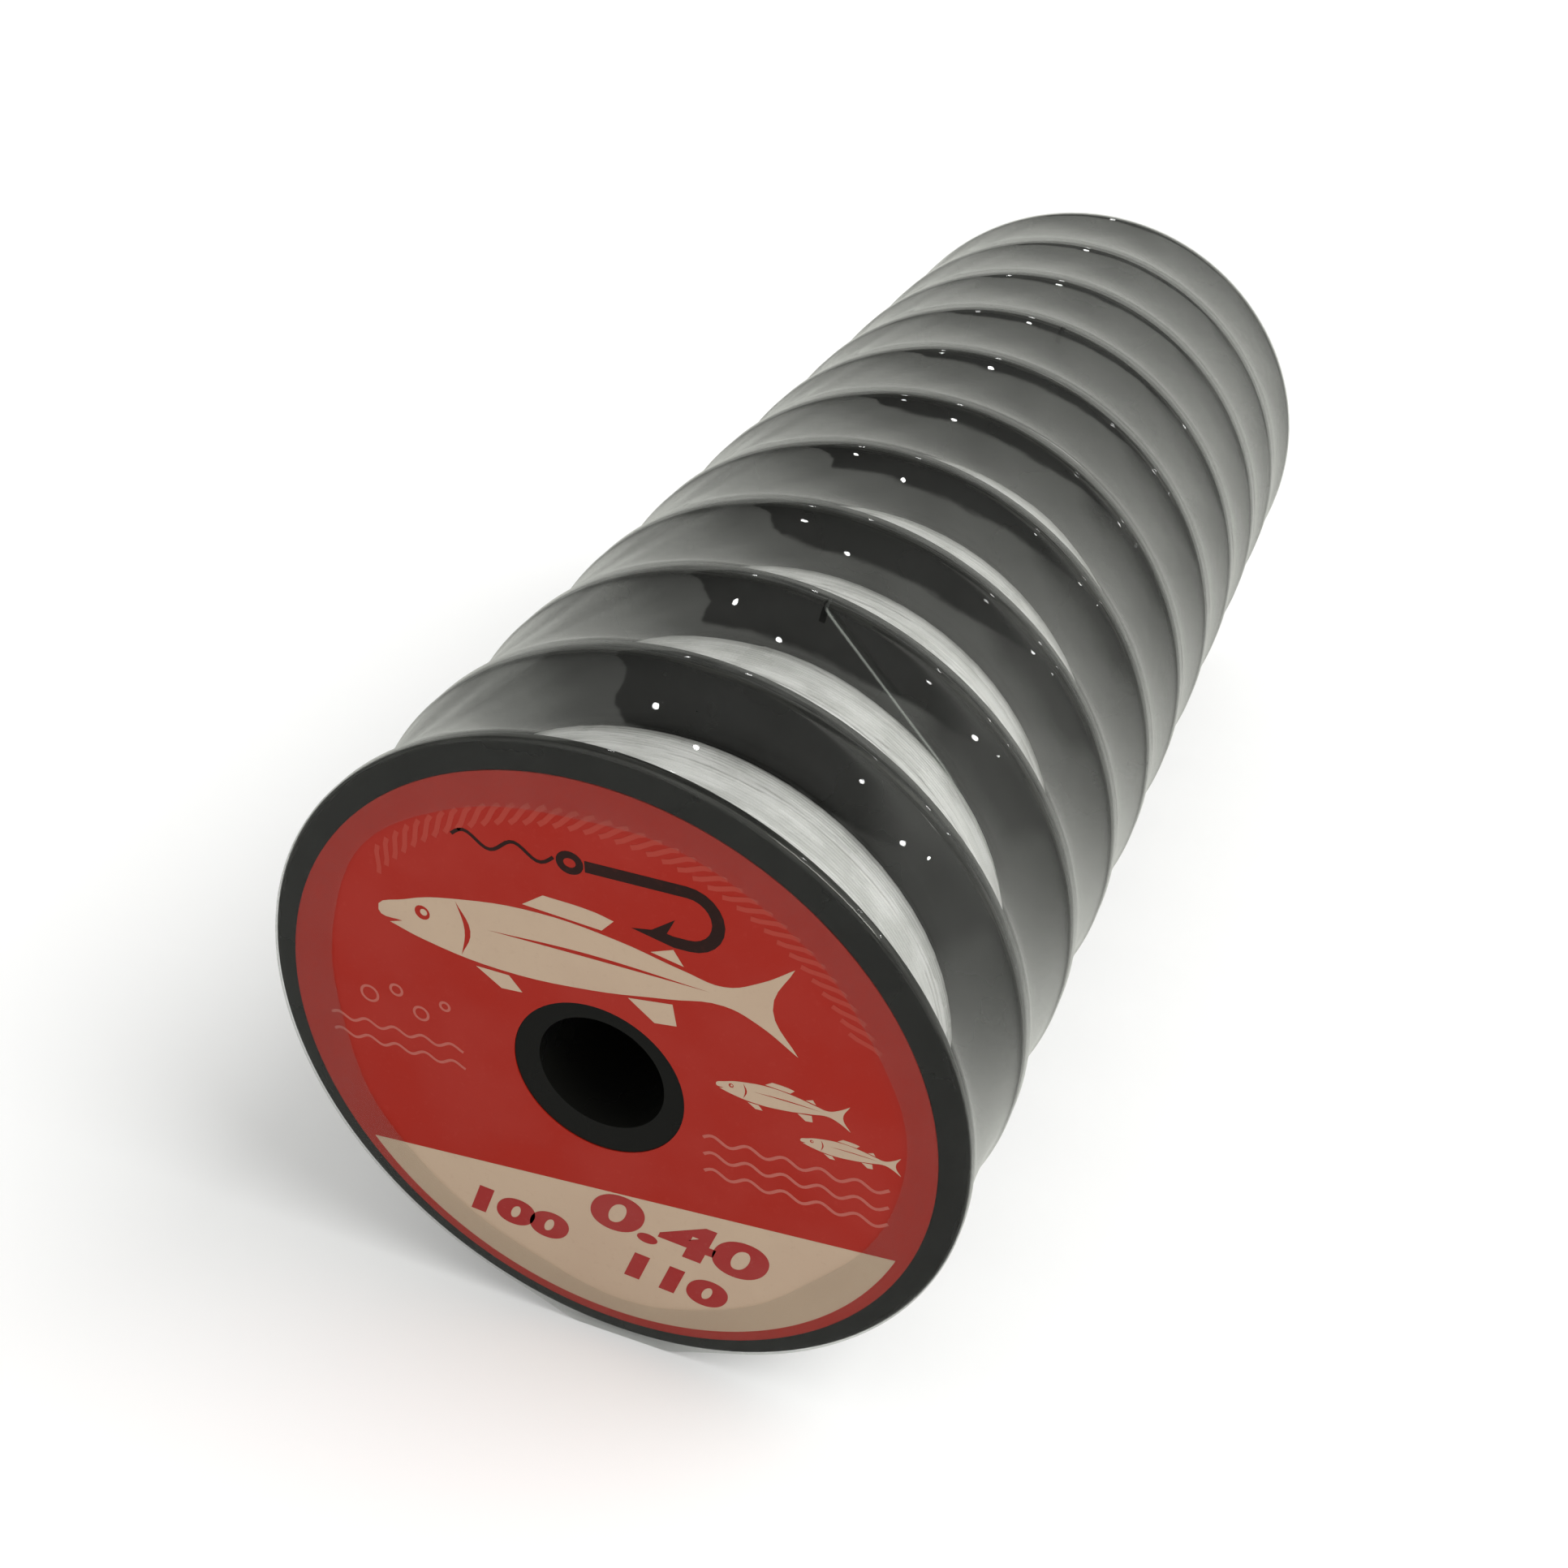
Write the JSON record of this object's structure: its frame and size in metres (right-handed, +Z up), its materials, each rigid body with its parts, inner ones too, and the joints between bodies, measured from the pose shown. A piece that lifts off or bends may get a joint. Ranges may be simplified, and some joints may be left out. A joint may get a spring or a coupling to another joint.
{
  "type": "fishing line spool pack",
  "caption": "Stack of plug-together black plastic spools wound with clear nylon fishing line, lying on its side in a clear shrink film, with a printed label on the front end",
  "frame": {"origin": "Middle of the underside of the pack, on the surface that it lies on", "axes": "+Y runs along the spools' shared axis from the labelled front end to the rear collar, +Z is up, +X is to the right when one faces the front label"},
  "size_m": [0.0668, 0.1632, 0.067],
  "materials": {
    "spool_plastic": "moulded, semi-gloss black",
    "nylon_line": "clear nylon line, satin when wound",
    "label_print": "printed red and cream, semi-gloss",
    "clear_film": "clear shrink film, glossy with fine wrinkles"
  },
  "bodies": {
    "film_sleeve": {"shrink_film": "clear_film"},
    "spool_01": {"front_flange_01": "spool_plastic", "rear_flange_01": "spool_plastic", "wound_line_01": "nylon_line", "label_01": "label_print"},
    "spool_02": {"front_flange_02": "spool_plastic", "rear_flange_02": "spool_plastic", "wound_line_02": "nylon_line", "label_02": "label_print", "line_tail": "nylon_line"},
    "spool_03": {"front_flange_03": "spool_plastic", "rear_flange_03": "spool_plastic", "wound_line_03": "nylon_line", "label_03": "label_print"},
    "spool_04": {"front_flange_04": "spool_plastic", "rear_flange_04": "spool_plastic", "wound_line_04": "nylon_line", "label_04": "label_print"},
    "spool_05": {"front_flange_05": "spool_plastic", "rear_flange_05": "spool_plastic", "wound_line_05": "nylon_line", "label_05": "label_print"},
    "spool_06": {"front_flange_06": "spool_plastic", "rear_flange_06": "spool_plastic", "wound_line_06": "nylon_line", "label_06": "label_print"},
    "spool_07": {"front_flange_07": "spool_plastic", "rear_flange_07": "spool_plastic", "wound_line_07": "nylon_line", "label_07": "label_print"},
    "spool_08": {"front_flange_08": "spool_plastic", "rear_flange_08": "spool_plastic", "wound_line_08": "nylon_line", "label_08": "label_print"},
    "spool_09": {"front_flange_09": "spool_plastic", "rear_flange_09": "spool_plastic", "wound_line_09": "nylon_line", "label_09": "label_print"},
    "spool_10": {"front_flange_10": "spool_plastic", "rear_flange_10": "spool_plastic", "wound_line_10": "nylon_line", "label_10": "label_print"}
  },
  "joints": [
    {"name": "spool_01_spin", "type": "hinge", "parent": "film_sleeve", "child": "spool_01", "pos_m": [0, -0.07322, 0.03355], "axis": [0, 1, 0], "continuous": true},
    {"name": "spool_02_spin", "type": "hinge", "parent": "film_sleeve", "child": "spool_02", "pos_m": [0, -0.05708, 0.03355], "axis": [0, 1, 0], "continuous": true},
    {"name": "spool_03_spin", "type": "hinge", "parent": "film_sleeve", "child": "spool_03", "pos_m": [0, -0.04093, 0.03355], "axis": [0, 1, 0], "continuous": true},
    {"name": "spool_04_spin", "type": "hinge", "parent": "film_sleeve", "child": "spool_04", "pos_m": [0, -0.02477, 0.03355], "axis": [0, 1, 0], "continuous": true},
    {"name": "spool_05_spin", "type": "hinge", "parent": "film_sleeve", "child": "spool_05", "pos_m": [0, -0.00863, 0.03355], "axis": [0, 1, 0], "continuous": true},
    {"name": "spool_06_spin", "type": "hinge", "parent": "film_sleeve", "child": "spool_06", "pos_m": [0, 0.00752, 0.03355], "axis": [0, 1, 0], "continuous": true},
    {"name": "spool_07_spin", "type": "hinge", "parent": "film_sleeve", "child": "spool_07", "pos_m": [0, 0.02368, 0.03355], "axis": [0, 1, 0], "continuous": true},
    {"name": "spool_08_spin", "type": "hinge", "parent": "film_sleeve", "child": "spool_08", "pos_m": [0, 0.03982, 0.03355], "axis": [0, 1, 0], "continuous": true},
    {"name": "spool_09_spin", "type": "hinge", "parent": "film_sleeve", "child": "spool_09", "pos_m": [0, 0.05597, 0.03355], "axis": [0, 1, 0], "continuous": true},
    {"name": "spool_10_spin", "type": "hinge", "parent": "film_sleeve", "child": "spool_10", "pos_m": [0, 0.07212, 0.03355], "axis": [0, 1, 0], "continuous": true}
  ]
}
